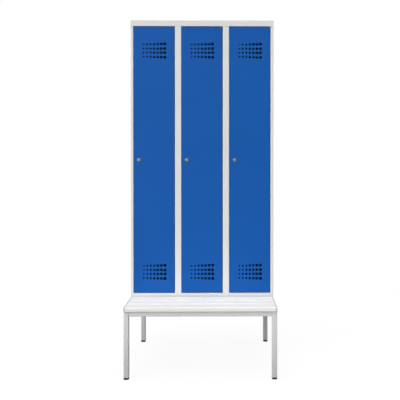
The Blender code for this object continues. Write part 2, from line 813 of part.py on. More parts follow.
def make_lock_barrel():
    """Rosette, threaded barrel and nut, round the plug's bore."""
    skin_front = DOOR_FRONT - SEAM
    skin_back = DOOR_FRONT + SHEET + SEAM
    front = DOOR_FRONT - ROSETTE_PROUD
    nut_back = skin_back + LOCK_NUT_HEIGHT
    rear = DOOR_FRONT + CAM_Y - SEAM
    bore = bore_radius(PLUG_RADIUS, LOCK_SIDES, RUNNING_CLEARANCE)
    profile = [
        (bore, front),
        (ROSETTE_RADIUS - ROSETTE_CHAMFER, front),
        (ROSETTE_RADIUS, front + ROSETTE_CHAMFER),
        (ROSETTE_RADIUS, skin_front),
        (BARREL_RADIUS, skin_front),
        (BARREL_RADIUS, skin_back),
        (LOCK_NUT_RADIUS, skin_back),
        (LOCK_NUT_RADIUS, nut_back),
        (BARREL_RADIUS, nut_back),
        (BARREL_RADIUS, rear),
        (bore, rear),
    ]
    centre = Vector((LOCK_X, 0, LOCK_Z))
    return turned("barrel_pattern", profile, LOCK_SIDES, "Y", centre, CHROME, bored=True)


def make_lock_plug():
    """Plug with a keyway in front and a rivet behind that carries the cam."""
    front = DOOR_FRONT - ROSETTE_PROUD - PLUG_PROUD
    rear = DOOR_FRONT + CAM_Y - SEAM
    cam_back = DOOR_FRONT + CAM_Y + CAM_THICKNESS + SEAM
    profile = [
        (PLUG_RADIUS, front),
        (PLUG_RADIUS, rear),
        (CAM_RIVET_RADIUS, rear),
        (CAM_RIVET_RADIUS, cam_back),
        (CAM_RIVET_HEAD_RADIUS, cam_back),
        (CAM_RIVET_HEAD_RADIUS, cam_back + CAM_RIVET_HEAD_HEIGHT),
    ]
    plug = turned("plug_pattern", profile, LOCK_SIDES, "Y", Vector((0, 0, 0)), BRASS)
    half_width = KEYWAY_WIDTH / 2
    half_height = KEYWAY_HEIGHT / 2
    return cut_boxes(plug, [(
        (-half_width, front - OVERRUN, -half_height),
        (half_width, front + KEYWAY_DEPTH, half_height),
    )])


def make_lock_cam():
    """Cam that hangs down unlocked and turns behind the stop to lock."""
    half = CAM_WIDTH / 2
    tip = arc(0, half - CAM_LENGTH, half, 360, 180, CAM_TIP_STEPS)
    outline = arc(0, 0, half, 180, 0, CAM_TIP_STEPS) + tip
    front = DOOR_FRONT + CAM_Y
    back = front + CAM_THICKNESS
    cam = prism("cam_pattern", [outline], "Y", front, back, ZINC_STEEL)
    hole = bore_radius(CAM_RIVET_RADIUS, LOCK_SIDES, RUNNING_CLEARANCE)
    return drill(cam, "Y", [(0, 0, hole)], LOCK_SIDES, front - OVERRUN, back + OVERRUN)


def build_doors():
    """One door of each pattern, then a copy for every opening on its own empties."""
    door_pieces = {
        "door": make_door_mesh(),
        "door_stiffener": make_stiffener(),
        "lock_barrel": make_lock_barrel(),
    }
    lock_pieces = {"lock_plug": make_lock_plug(), "lock_cam": make_lock_cam()}
    for index, place in enumerate(COMPARTMENT_NAMES):
        axis = (pin_x(index), FRONT_Y + HINGE_DEPTH, SILL_Z + DOOR_GAP)
        hinge = pivot_empty(f"hinge_axis_{place}", axis)
        lock = carried(pivot_empty(f"lock_axis_{place}", (LOCK_X, 0, LOCK_Z)), hinge)
        for name, pattern in door_pieces.items():
            carried(copy_of(pattern, f"{name}_{place}"), hinge)
        for name, pattern in lock_pieces.items():
            carried(copy_of(pattern, f"{name}_{place}"), lock)
    for pattern in (*door_pieces.values(), *lock_pieces.values()):
        bpy.data.objects.remove(pattern)


# Inside the compartments
def build_hat_shelf(name, left, right):
    """Shelf folded down at the front and back, with a cheek at each side."""
    path = [
        (SHELF_FRONT_Y + SHELF_LIP, SHELF_Z - SHELF_DROP),
        (SHELF_FRONT_Y, SHELF_Z - SHELF_DROP),
        (SHELF_FRONT_Y, SHELF_Z),
        (SHELF_BACK_Y, SHELF_Z),
        (SHELF_BACK_Y, SHELF_Z - SHELF_REAR_DROP),
    ]
    low = left + SEAM
    high = right - SEAM
    shelf = folded_sheet(name, path, "X", low, high)
    top = SHELF_Z - SHEET / 2
    foot = RAIL_Z - CHEEK_BELOW_RAIL
    cheek = [
        (RAIL_Y - CHEEK_HALF_TOP, top),
        (RAIL_Y - CHEEK_HALF_FOOT, foot),
        (RAIL_Y + CHEEK_HALF_FOOT, foot),
        (RAIL_Y + CHEEK_HALF_TOP, top),
    ]
    cheeks = bmesh.new()
    holes = bmesh.new()
    socket = rail_section(SEAM)
    for start, end in ((low, low + SHEET), (high - SHEET, high)):
        add_prism(cheeks, [cheek], "X", start, end)
        add_prism(holes, [socket], "X", start - OVERRUN, end + OVERRUN)
    combine(shelf, cutter_object(f"{name}_cheeks", cheeks), "UNION")
    return combine(shelf, cutter_object(f"{name}_sockets", holes), "DIFFERENCE")


def rail_section(grown, y=RAIL_Y, z=RAIL_Z):
    return stadium(y, z, RAIL_HALF_WIDTH + grown, RAIL_HALF_HEIGHT + grown)


def build_coat_rail(name, left, right):
    """Oval tube that passes through both cheeks and ends at the walls."""
    outlines = [rail_section(0), rail_section(-RAIL_WALL)]
    return prism(name, outlines, "X", left + SEAM, right - SEAM, ZINC_STEEL)


def hook_half_outline():
    """Right half of a double hook, from the top of its ring to its foot."""
    ring = RAIL_HALF_WIDTH + SEAM + HOOK_WALL
    rise = RAIL_HALF_HEIGHT - RAIL_HALF_WIDTH
    neck = math.degrees(math.acos(HOOK_STEM_HALF / ring))
    stem_foot = -rise - ring - HOOK_STEM_LENGTH
    bend = HOOK_STEM_HALF + HOOK_INNER_RADIUS
    outer = HOOK_INNER_RADIUS + HOOK_PRONG
    tip = HOOK_PRONG / 2
    half = arc(0, rise, ring, 90, 0, HOOK_ARC_STEPS - 1)
    half += arc(0, -rise, ring, 0, -neck, 2)
    half += arc(bend, stem_foot, HOOK_INNER_RADIUS, 180, 360, HOOK_ARC_STEPS)
    half += arc(
        bend + HOOK_INNER_RADIUS + tip, stem_foot + HOOK_PRONG_RISE, tip, 180, 0, 2
    )
    half += arc(bend, stem_foot, outer, 0, -90, HOOK_ARC_STEPS - 1)
    return half


def make_hook():
    half = hook_half_outline()
    outline = half + [(-u, v) for u, v in half[:0:-1]]
    start = -HOOK_WIDTH / 2
    hook = prism("hook_pattern", [outline], "X", start, HOOK_WIDTH / 2, BLACK_PLASTIC)
    bm = bmesh.new()
    ring = rail_section(SEAM, 0, 0)
    add_prism(bm, [ring], "X", start - OVERRUN, HOOK_WIDTH / 2 + OVERRUN)
    return combine(hook, cutter_object("hook_bore", bm), "DIFFERENCE")


def hook_x(index, number):
    left, right = compartment_walls(index)
    offset = (number - (HOOKS_PER_RAIL - 1) / 2) * HOOK_SPACING
    return (left + right) / 2 + offset


def build_interiors():
    pattern = make_hook()
    for index, place in enumerate(COMPARTMENT_NAMES):
        left, right = compartment_walls(index)
        build_hat_shelf(f"hat_shelf_{place}", left, right)
        build_coat_rail(f"coat_rail_{place}", left, right)
        for number in range(HOOKS_PER_RAIL):
            at = (hook_x(index, number), RAIL_Y, RAIL_Z)
            slide = pivot_empty(f"hook_slide_{place}_{number + 1}", at)
            carried(copy_of(pattern, f"hook_{place}_{number + 1}"), slide)
    bpy.data.objects.remove(pattern)


def build_cabinet():
    build_side_panel("side_panel_left", -1)
    build_side_panel("side_panel_right", 1)
    for index in range(COMPARTMENTS - 1):
        side = ("left", "right")[index]
        build_mullion(f"mullion_{side}", mullion_x(index))
        build_partition(f"partition_{side}", mullion_x(index))
    build_back_panel()
    build_roof_panel()
    build_floor_pan()
    build_pivot_pins()


def build_bench():
    build_legs()
    build_foot_plugs()
    build_frame_rails()
    build_slats()


build_bench()
build_cabinet()
build_doors()
build_interiors()
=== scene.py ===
# %% [markdown]
# # A steel locker with a bench
# The CAD model holds every solid in its right place. This lesson dresses it:
# each finish is built from nodes, and the pieces that need rounder edges, truer
# holes or small fittings are modelled again over the solids and stand for them.

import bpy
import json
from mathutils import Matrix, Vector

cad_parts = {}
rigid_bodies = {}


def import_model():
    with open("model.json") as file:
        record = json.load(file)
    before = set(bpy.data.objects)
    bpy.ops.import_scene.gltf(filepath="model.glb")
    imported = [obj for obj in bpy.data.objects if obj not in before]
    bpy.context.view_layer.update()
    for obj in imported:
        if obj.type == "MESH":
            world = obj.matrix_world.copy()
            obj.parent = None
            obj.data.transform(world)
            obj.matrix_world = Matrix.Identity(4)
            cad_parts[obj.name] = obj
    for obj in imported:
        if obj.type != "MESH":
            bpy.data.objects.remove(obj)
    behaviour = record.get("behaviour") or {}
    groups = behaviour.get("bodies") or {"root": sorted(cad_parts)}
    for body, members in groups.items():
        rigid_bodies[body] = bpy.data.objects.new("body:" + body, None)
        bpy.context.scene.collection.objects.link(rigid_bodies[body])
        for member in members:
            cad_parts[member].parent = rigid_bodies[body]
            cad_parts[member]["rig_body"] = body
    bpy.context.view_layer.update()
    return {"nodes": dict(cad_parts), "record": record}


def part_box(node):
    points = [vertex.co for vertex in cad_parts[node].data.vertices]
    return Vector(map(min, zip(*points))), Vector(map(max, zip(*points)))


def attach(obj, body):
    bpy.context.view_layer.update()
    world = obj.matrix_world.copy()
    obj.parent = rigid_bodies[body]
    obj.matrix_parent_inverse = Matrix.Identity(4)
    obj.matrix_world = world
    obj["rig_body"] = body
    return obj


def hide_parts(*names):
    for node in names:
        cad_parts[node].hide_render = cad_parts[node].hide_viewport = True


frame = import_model()

# %% [markdown]
# The rest of the tools are Blender's own modules. Blender's view transform is
# set to Standard, so that a paint shows about the colour that it is given.

# %% Modules and colour handling
import json
import math

import bmesh
import bpy
from mathutils import Vector

scene = bpy.context.scene
scene.view_settings.view_transform = "Standard"
MM = 0.001
print("view transform", scene.view_settings.view_transform)

# %% [markdown]
# ## Camera
# The picture was taken from nearly four metres in front, a little right of the
# middle and at chest height. A camera that is tilted by only half a degree keeps
# the locker's edges upright, and a small lens shift then frames it, as a product
# photographer does.

# %% Camera at the photograph's viewpoint
CAMERA_PLACE = (0.1292, -3.9373, 1.2415)
CAMERA_YAW, CAMERA_TILT = -0.573, -0.5
SENSOR_WIDTH, LENS = 36, 54.81
SHIFT_X, SHIFT_Y = -0.0717, -0.0692
bpy.ops.object.select_all(action="DESELECT")
bpy.ops.object.camera_add(
    location=CAMERA_PLACE,
    rotation=(math.radians(90 + CAMERA_TILT), 0, math.radians(CAMERA_YAW)),
)
camera = bpy.context.object
camera.name = "photo_camera"
camera.data.sensor_width, camera.data.lens = SENSOR_WIDTH, LENS
camera.data.shift_x, camera.data.shift_y = SHIFT_X, SHIFT_Y
scene.camera = camera
print("lens", round(camera.data.lens, 2), "mm")

# %% [markdown]
# ## Studio
# The locker stands in a white studio. The world is pure white to the eye and to
# reflections, but it lights the locker only gently, so pale paint keeps its
# tone. Light Path tells the two kinds of ray apart.

# %% White surroundings that light softly
AMBIENT = 0.10


def seen_directly(tree):
    """A socket that is 1 for camera, glossy and transmission rays, and 0 for the rest."""
    path = tree.nodes.new("ShaderNodeLightPath")
    total = path.outputs["Is Camera Ray"]
    for kind in ("Is Glossy Ray", "Is Transmission Ray"):
        either = tree.nodes.new("ShaderNodeMath")
        either.operation = "MAXIMUM"
        tree.links.new(total, either.inputs[0])
        tree.links.new(path.outputs[kind], either.inputs[1])
        total = either.outputs[0]
    return total


world = bpy.data.worlds.new("white_studio")
scene.world = world
world.use_nodes = True
strength = world.node_tree.nodes.new("ShaderNodeMapRange")
strength.inputs["To Min"].default_value = AMBIENT
world.node_tree.links.new(seen_directly(world.node_tree), strength.inputs["Value"])
surroundings = world.node_tree.nodes["Background"]
surroundings.inputs["Color"].default_value = (1, 1, 1, 1)
world.node_tree.links.new(strength.outputs["Result"], surroundings.inputs["Strength"])
print("ambient level", AMBIENT)

# %% [markdown]
# The floor is a white board. Seen by the camera it is mostly plain white, with
# a part of its real shading left in, which keeps the locker's soft shadow. For
# the light that bounces off it, it is an ordinary matt grey.

# %% Floor that keeps the shadow
FLOOR_SIZE = 5.0
FLOOR_BOUNCE = 0.10
SHADOW_SHARE = 0.08
bpy.ops.object.select_all(action="DESELECT")
bpy.ops.mesh.primitive_plane_add(size=FLOOR_SIZE, location=(0, 0, 0))
floor = bpy.context.object
floor.name = "studio_floor"


def floor_material():
    """White to the eye, grey to bounced light, and shaded where the locker shades it."""
    made = bpy.data.materials.new("studio_floor")
    made.use_nodes = True
    tree = made.node_tree
    tree.nodes.remove(tree.nodes["Principled BSDF"])
    seen = seen_directly(tree)
    shaded = tree.nodes.new("ShaderNodeBsdfDiffuse")
    tone = tree.nodes.new("ShaderNodeMix")
    tone.data_type = "RGBA"
    tone.inputs["A"].default_value = (FLOOR_BOUNCE, FLOOR_BOUNCE, FLOOR_BOUNCE, 1)
    tone.inputs["B"].default_value = (1, 1, 1, 1)
    tree.links.new(seen, tone.inputs["Factor"])
    tree.links.new(tone.outputs["Result"], shaded.inputs["Color"])
    plain = tree.nodes.new("ShaderNodeEmission")
    share = tree.nodes.new("ShaderNodeMath")
    share.operation = "MULTIPLY"
    share.inputs[1].default_value = 1 - SHADOW_SHARE
    tree.links.new(seen, share.inputs[0])
    both = tree.nodes.new("ShaderNodeMixShader")
    tree.links.new(share.outputs[0], both.inputs["Fac"])
    tree.links.new(shaded.outputs["BSDF"], both.inputs[1])
    tree.links.new(plain.outputs["Emission"], both.inputs[2])
    tree.links.new(both.outputs["Shader"], tree.nodes["Material Output"].inputs["Surface"])
    return made


floor.data.materials.append(floor_material())
print("floor", FLOOR_SIZE, "m square")

# %% [markdown]
# A key lamp stands low at the front left, so the fronts are bright and the right
# sides fall into shade. No lamp shines along the camera's line of sight, so the
# ventilation holes stay black. A top lamp lights the seat and a weak one the right
# side. All three are suns with a wide angle, which light the whole height evenly
# and blur the shadows.

# %% Three suns
LAMP_SPREAD = 50


def add_sun(name, turn, rise, energy):
    """A sun placed by its turn off the front and its rise over the floor, in degrees."""
    turn, rise = math.radians(turn), math.radians(rise)
    reach = math.cos(rise)
    towards = Vector((math.sin(turn) * reach, -math.cos(turn) * reach, math.sin(rise)))
    bpy.ops.object.select_all(action="DESELECT")
    bpy.ops.object.light_add(type="SUN")
    lamp = bpy.context.object
    lamp.name = name
    lamp.rotation_euler = towards.to_track_quat("Z", "Y").to_euler()
    lamp.data.energy = energy
    lamp.data.angle = math.radians(LAMP_SPREAD)


add_sun("key_lamp", -45, 10, 2.75)
add_sun("top_lamp", -10, 70, 2.2)
add_sun("right_lamp", 90, 5, 0.6)

# %% [markdown]
# The back is lit by a panel narrower than the cabinet. A sun would shine past
# the cabinet on to the seat, and the panel stays hidden behind it.

# %% Panel behind the locker
BACK_PANEL_PLACE, BACK_PANEL_SIZE = (0, 2.6, 1.3), (0.8, 2.2)
BACK_PANEL_WATTS = 32
bpy.ops.object.select_all(action="DESELECT")
bpy.ops.object.light_add(
    type="AREA", location=BACK_PANEL_PLACE, rotation=(math.radians(-90), 0, 0)
)
back_panel = bpy.context.object
back_panel.name = "back_panel_lamp"
back_panel.data.shape = "RECTANGLE"
back_panel.data.size, back_panel.data.size_y = BACK_PANEL_SIZE
back_panel.data.energy = BACK_PANEL_WATTS
back_panel.visible_camera = False
print("panel", BACK_PANEL_SIZE, "m at", BACK_PANEL_PLACE)

# %% [markdown]
# ## Working by operators
# Blender's operators act on whatever is selected, as the hands of a modeller
# do. The first helpers select one piece, settle its place in its mesh, and
# apply one modifier at a time.

# %% Helpers that select, settle and apply
def take(piece):
    """Makes one piece the only selected and active one."""
    bpy.ops.object.select_all(action="DESELECT")
    piece.select_set(True)
    bpy.context.view_layer.objects.active = piece
    return piece


def settle(piece, name):
    """Moves a new piece's place, turn and size into its mesh, and names it."""
    take(piece)
    piece.name = name
    piece.data.name = name
    bpy.ops.object.transform_apply(location=True, rotation=True, scale=True)
    return piece


def worked(piece, kind, **settings):
    """Adds one modifier with its settings and applies it."""
    take(piece)
    step = piece.modifiers.new(kind.lower(), kind)
    for key, value in settings.items():
        setattr(step, key, value)
    bpy.ops.object.modifier_apply(modifier=step.name)
    return piece


# %% [markdown]
# In edit mode a modeller clicks on the edges and faces to work on. Here a test
# of their place, direction or fold picks them, so that it holds at any size.

# %% Helpers that pick parts of a mesh
def editing(piece):
    """Takes a piece into edit mode."""
    take(piece)
    bpy.ops.object.mode_set(mode="EDIT")


def done_editing():
    bpy.ops.object.mode_set(mode="OBJECT")


def choose(kind, test):
    """In edit mode, selects only the parts of that kind that pass the test."""
    bpy.ops.mesh.select_mode(type=kind)
    bpy.ops.mesh.select_all(action="DESELECT")
    mesh = bpy.context.edit_object.data
    bm = bmesh.from_edit_mesh(mesh)
    parts = {"VERT": bm.verts, "EDGE": bm.edges, "FACE": bm.faces}[kind]
    chosen = [part for part in parts if test(part)]
    for part in chosen:
        part.select_set(True)
    bm.select_flush_mode()
    bmesh.update_edit_mesh(mesh)
    return len(chosen)


def along(edge, axis):
    """True if an edge runs along an axis."""
    run = edge.verts[1].co - edge.verts[0].co
    return abs(run[axis]) > 0.999 * run.length


def crease(edge):
    """The angle between an edge's two faces, in degrees."""
    return math.degrees(edge.calc_face_angle(0))


# %% [markdown]
# A bevelled plate shades well only if its large flats stay flat. Smoothing by
# angle rounds the small bevels, and Weighted Normal then turns the shading of
# shared corners towards the larger face.

# %% Helper for smooth shading
def smoothed(piece, degrees=40):
    """Smooths a piece over its shallow edges and keeps the sharper ones."""
    take(piece)
    bpy.ops.object.shade_smooth_by_angle(angle=math.radians(degrees))
    return worked(piece, "WEIGHTED_NORMAL", keep_sharp=True)


# %% [markdown]
# ## Finishes
# Every finish starts from the same few nodes: Object coordinates, noise at a
# real scale in metres, a small change of colour, a change of roughness and a
# bump. Object coordinates stay put on a piece when it moves with a joint.

# %% Helpers that start a finish
def new_finish(name, roughness, metallic=0.0, specular=0.5):
    """A material with its shader and coordinates ready for more nodes."""
    made = bpy.data.materials.new(name)
    made.use_nodes = True
    tree = made.node_tree
    shader = tree.nodes["Principled BSDF"]
    shader.inputs["Roughness"].default_value = roughness
    shader.inputs["Metallic"].default_value = metallic
    shader.inputs["Specular IOR Level"].default_value = specular
    place = tree.nodes.new("ShaderNodeTexCoord")
    return made, tree, shader, place.outputs["Object"]


def grain(tree, place, size, detail=2.0, stretch=(1, 1, 1)):
    """Noise whose spots are about that many metres across, stretched along an axis."""
    mapping = tree.nodes.new("ShaderNodeMapping")
    mapping.inputs["Scale"].default_value = stretch
    tree.links.new(place, mapping.inputs["Vector"])
    noise = tree.nodes.new("ShaderNodeTexNoise")
    noise.inputs["Scale"].default_value = 0.5 / size
    noise.inputs["Detail"].default_value = detail
    tree.links.new(mapping.outputs["Vector"], noise.inputs["Vector"])
    return noise.outputs["Fac"]


def spread(tree, value, low, high, start=0.3, end=0.7):
    """Maps a noise value to a range of another quantity."""
    node = tree.nodes.new("ShaderNodeMapRange")
    for socket, number in (
        ("From Min", start), ("From Max", end), ("To Min", low), ("To Max", high),
    ):
        node.inputs[socket].default_value = number
    tree.links.new(value, node.inputs["Value"])
    return node.outputs["Result"]


# %% [markdown]
# A surface never has one colour, one gloss or one level. So a finish ends with a
# blend of two close colours, a roughness that varies about its mean, and bumps
# that are stacked one on the other.

# %% Helpers that end a finish
def shade_between(tree, factor, one, two):
    """A colour between two, by a factor."""
    node = tree.nodes.new("ShaderNodeMix")
    node.data_type = "RGBA"
    node.inputs["A"].default_value = (*one, 1)
    node.inputs["B"].default_value = (*two, 1)
    tree.links.new(factor, node.inputs["Factor"])
    return node.outputs["Result"]


def tinted(colour, factor):
    """A lighter or darker version of a colour."""
    return tuple(min(1.0, part * factor) for part in colour)


def blended(tree, operation, one, two):
    """A sum or product of two sockets."""
    node = tree.nodes.new("ShaderNodeMath")
    node.operation = operation
    tree.links.new(one, node.inputs[0])
    tree.links.new(two, node.inputs[1])
    return node.outputs[0]


def surfaced(tree, shader, colours, gloss, layers):
    """Links colour, roughness and bumps; each layer is a height socket and its depth."""
    tree.links.new(colours, shader.inputs["Base Color"])
    tree.links.new(gloss, shader.inputs["Roughness"])
    before = None
    for height, depth in layers:
        bump = tree.nodes.new("ShaderNodeBump")
        bump.inputs["Strength"].default_value = 1.0
        bump.inputs["Distance"].default_value = depth
        tree.links.new(height, bump.inputs["Height"])
        if before:
            tree.links.new(before, bump.inputs["Normal"])
        before = bump.outputs["Normal"]
    tree.links.new(before, shader.inputs["Normal"])


# %% [markdown]
# Powder coat is sprayed as dry dust and melts in an oven. It never flows quite
# level: up close it has a fine orange-peel skin about a millimetre across, over
# a slower waviness, and a faint speckle where grains of dust did not melt into
# the rest. Two noise bumps and a speckle give that. The bench frame also gets
# a painted shade that darkens it towards the floor, made uneven by scuff marks.

# %% Powder coats
# Painted shade: the bench frame's colour falls to this share at the floor.
FLOOR_PAINTED_SHADE = 0.80
SCUFF, SCUFF_CONTRAST = 14 * MM, 0.015
PEEL, PEEL_DEPTH = 1.3 * MM, 0.035 * MM
WAVE, WAVE_DEPTH = 9 * MM, 0.05 * MM
SPECK, CLOUD = 0.35 * MM, 160 * MM


def painted_shade_near_floor(tree, place, colours, height):
    """The colour under a painted shade, darkened unevenly from a height in metres to the floor."""
    split = tree.nodes.new("ShaderNodeSeparateXYZ")
    tree.links.new(place, split.inputs["Vector"])
    rise = spread(tree, split.outputs["Z"], FLOOR_PAINTED_SHADE, 1.0, 0.0, height)
    marks = grain(tree, place, SCUFF, detail=4.0, stretch=(1, 1, 0.5))
    uneven = spread(tree, marks, 1 - SCUFF_CONTRAST, 1 + SCUFF_CONTRAST)
    toned = tree.nodes.new("ShaderNodeMix")
    toned.data_type = "RGBA"
    toned.blend_type = "MULTIPLY"
    toned.inputs["Factor"].default_value = 1.0
    tree.links.new(colours, toned.inputs["A"])
    tree.links.new(blended(tree, "MULTIPLY", rise, uneven), toned.inputs["B"])
    return toned.outputs["Result"]


def powder_coat(name, colour, roughness, specular, shade_and_scuffs_to=0.0):
    """Sprayed paint; below a height in metres, a painted shade greys it towards the floor."""
    made, tree, shader, place = new_finish(name, roughness, specular=specular)
    peel = grain(tree, place, PEEL, detail=1.0)
    wave = grain(tree, place, WAVE, detail=1.0)
    speck = spread(tree, grain(tree, place, SPECK, detail=0.0), 0.0, 0.3)
    cloud = spread(tree, grain(tree, place, CLOUD, detail=3.0), 0.0, 0.7)
    mottle = blended(tree, "ADD", cloud, speck)
    colours = shade_between(tree, mottle, tinted(colour, 0.965), tinted(colour, 1.03))
    # Below that height a painted shade darkens the colour, made uneven by scuff marks.
    if shade_and_scuffs_to:
        colours = painted_shade_near_floor(tree, place, colours, shade_and_scuffs_to)
    gloss = spread(tree, peel, roughness - 0.05, roughness + 0.05)
    surfaced(tree, shader, colours, gloss, [(wave, WAVE_DEPTH), (peel, PEEL_DEPTH)])
    return made


GREY = powder_coat("light_grey_powder_coat", (0.702, 0.704, 0.702), 0.50, 0.15)
# The bench frame's paint, with a painted shade near the floor and scuff marks.
GREY_FRAME = powder_coat(
    "light_grey_powder_coat_shaded_and_scuffed", (0.708, 0.710, 0.708), 0.52, 0.06, shade_and_scuffs_to=0.37
)
BLUE = powder_coat("blue_powder_coat", (0.0072, 0.0935, 0.377), 0.50, 0.10)
print("powder coats", GREY.name, GREY_FRAME.name, BLUE.name)

# %% [markdown]
# The seat is extruded from white PVC. The die leaves hair-fine lines along its
# whole length, so the noise is stretched a hundred times along X. Its skin is
# matt, with a haze that is a little uneven.

# %% White PVC of the seat
DIE_LINE, DIE_LINE_DEPTH = 1.1 * MM, 0.02 * MM
HAZE = 90 * MM


def extruded_plastic(name, colour, roughness):
    """Matt plastic with the fine lines of its die along X."""
    made, tree, shader, place = new_finish(name, roughness, specular=0.01)
    lines = grain(tree, place, DIE_LINE, detail=2.0, stretch=(0.008, 1, 1))
    haze = grain(tree, place, HAZE, detail=3.0, stretch=(0.35, 1, 1))
    colours = shade_between(
        tree, spread(tree, haze, 0, 1), tinted(colour, 0.975), tinted(colour, 1.015)
    )
    gloss = spread(tree, haze, roughness - 0.06, roughness + 0.06)
    surfaced(tree, shader, colours, gloss, [(lines, DIE_LINE_DEPTH)])
    return made


PVC = extruded_plastic("white_pvc", (0.862, 0.848, 0.818), 0.60)
print("seat", PVC.name)

# %% [markdown]
# Moulded plastic takes the fine pitted texture that was etched into its mould.
# Voronoi cells about a third of a millimetre wide look like it. A thin film of
# dust shows on the black feet and hooks, and hardly on the grey end caps.

# %% Moulded plastic and rubber
DUST = 6 * MM


def moulded_plastic(name, colour, roughness, pit, depth, dust=0.25):
    """Plastic with pits of a width and a depth, under a film of dust."""
    made, tree, shader, place = new_finish(name, roughness, specular=0.25)
    cells = tree.nodes.new("ShaderNodeTexVoronoi")
    cells.inputs["Scale"].default_value = 1 / pit
    tree.links.new(place, cells.inputs["Vector"])
    film = grain(tree, place, DUST, detail=3.0)
    colours = shade_between(
        tree, spread(tree, film, 0, 1), tinted(colour, 1 - dust), tinted(colour, 1 + dust)
    )
    gloss = spread(tree, film, roughness - 0.07, roughness + 0.07)
    surfaced(tree, shader, colours, gloss, [(cells.outputs["Distance"], depth)])
    return made


BLACK = moulded_plastic(
    "black_moulded_plastic", (0.014, 0.014, 0.015), 0.5, 0.4 * MM, 0.03 * MM
)
RUBBER = moulded_plastic("dark_rubber", (0.03, 0.03, 0.031), 0.75, 0.7 * MM, 0.02 * MM)
CAP_GREY = moulded_plastic(
    "light_grey_moulded_plastic", (0.54, 0.54, 0.53), 0.55, 0.4 * MM, 0.01 * MM, dust=0.04
)
print("plastics", BLACK.name, RUBBER.name, CAP_GREY.name)

# %% [markdown]
# The metals are bare: zinc-plated steel with a cloudy, slightly blue-yellow
# passivation, nickel-plated lock cases that are nearly mirror smooth, and a
# brass core. Fine scratches run one way, so their noise is stretched.

# %% Plated metals
SCRATCH, SCRATCH_DEPTH = 0.25 * MM, 0.006 * MM


def plated_metal(name, colour, other, roughness, cloud_size, scratched):
    """Metal that clouds between two colours, with scratches stretched along an axis."""
    made, tree, shader, place = new_finish(name, roughness, metallic=1.0)
    cloud = grain(tree, place, cloud_size, detail=4.0)
    lines = grain(tree, place, SCRATCH, detail=2.0, stretch=scratched)
    colours = shade_between(tree, spread(tree, cloud, 0, 1), colour, other)
    gloss = spread(tree, cloud, roughness - 0.06, roughness + 0.08)
    surfaced(tree, shader, colours, gloss, [(lines, SCRATCH_DEPTH)])
    return made


ZINC = plated_metal(
    "zinc_plated_steel", (0.36, 0.375, 0.40), (0.42, 0.41, 0.375), 0.36, 5 * MM, (0.05, 1, 1)
)
NICKEL = plated_metal(
    "nickel_plating", (0.185, 0.19, 0.20), (0.235, 0.235, 0.23), 0.26, 8 * MM, (1, 1, 0.08)
)
BRASS = plated_metal(
    "worn_brass", (0.215, 0.16, 0.105), (0.26, 0.20, 0.14), 0.33, 3 * MM, (1, 1, 0.08)
)
print("metals", ZINC.name, NICKEL.name, BRASS.name)

# %% [markdown]
# ## The CAD nodes
# Each node takes the finish of its slot in the record. The solids that are
# right as they are stay on show with it.

# %% Put the finishes on the CAD nodes
FINISHES = {
    "light_grey_paint": GREY,
    "blue_paint": BLUE,
    "seat_pvc": PVC,
    "black_plastic": BLACK,
    "zinc_steel": ZINC,
    "chrome": NICKEL,
    "brass": BRASS,
}
SLOT_OF = {row["node"]: row["material_slot"] for row in frame["record"]["subparts"]}
for node, solid in frame["nodes"].items():
    for opening in solid.material_slots:
        opening.material = FINISHES[SLOT_OF[node]]
print(len(SLOT_OF), "nodes carry a finish")

# %% [markdown]
# ## Rounded sheet and tube
# A press brake bends sheet to a small round fold, and shears leave an edge that
# the paint softens. The solids have flat chamfers there. A copy of each is
# merged, its folds are bevelled round and its cut edges are just broken.

# %% A rounded copy of a solid
WELD = 0.01 * MM
FOLD_LIMIT, CUT_LIMIT = 50, 75


def rounded_copy(node, ending, fold=0.6 * MM, cut=0.12 * MM, gentle=40, hollows=True):
    """A merged copy of a node with rounded folds, also hollow ones, and broken cut edges."""
    piece = bpy.data.objects.new(f"{node}_{ending}", frame["nodes"][node].data.copy())
    scene.collection.objects.link(piece)
    take(piece)
    bpy.ops.mesh.customdata_custom_splitnormals_clear()
    editing(piece)
    bpy.ops.mesh.select_mode(type="EDGE")
    bpy.ops.mesh.select_all(action="SELECT")
    bpy.ops.mesh.mark_sharp(clear=True)
    bpy.ops.mesh.remove_doubles(threshold=WELD)
    bpy.ops.mesh.dissolve_limited(angle_limit=math.radians(0.5))
    if choose("EDGE", lambda edge: (
        gentle < crease(edge) < FOLD_LIMIT and (hollows or edge.is_convex)
    )):
        bpy.ops.mesh.bevel(offset=fold, segments=2, affect="EDGES")
    if choose("EDGE", lambda edge: crease(edge) > CUT_LIMIT):
        bpy.ops.mesh.bevel(offset=cut, segments=1, affect="EDGES")
    done_editing()
    piece.data.name = piece.name
    return smoothed(piece)


# %% [markdown]
# A new piece gets two things: a finish, and the body that it moves with. One that
# stands for a node takes both from that node, and the node is then hidden. The
# tubes of the bench take the paint with the painted shade towards the floor.

# %% Helpers that finish a piece and hide its node
FRAME_TUBES = ("leg_", "base_rail_", "seat_strut")


def painted(piece, material, body):
    """Gives a piece its finish and lets it ride on a body."""
    piece.data.materials.clear()
    piece.data.materials.append(material)
    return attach(piece, body)


def stand_in(piece, node):
    """Gives a piece the finish and body of the node that it stands for, and hides the node."""
    slot = SLOT_OF[node]
    finish = GREY_FRAME if node.startswith(FRAME_TUBES) else FINISHES[slot]
    painted(piece, finish, frame["nodes"][node]["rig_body"])
    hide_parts(node)
    return piece


# %% [markdown]
# Every folded sheet and square tube of the cabinet and the bench frame gets the
# same treatment, so one loop serves them all.

# %% Cabinet sheets and frame tubes
GREY_NODES = sorted(node for node, slot in SLOT_OF.items() if slot == "light_grey_paint")
for node in GREY_NODES:
    stand_in(rounded_copy(node, "painted"), node)
print(len(GREY_NODES), "rounded sheets and tubes")

# %% [markdown]
# ## Doors
# A door is one blank of 0.8 mm sheet. A press punches the holes, and the sides
# are folded back and the lips in. Here a block loses its back, all its folds
# are bevelled round, and Solidify then gives the skin its thickness inwards.

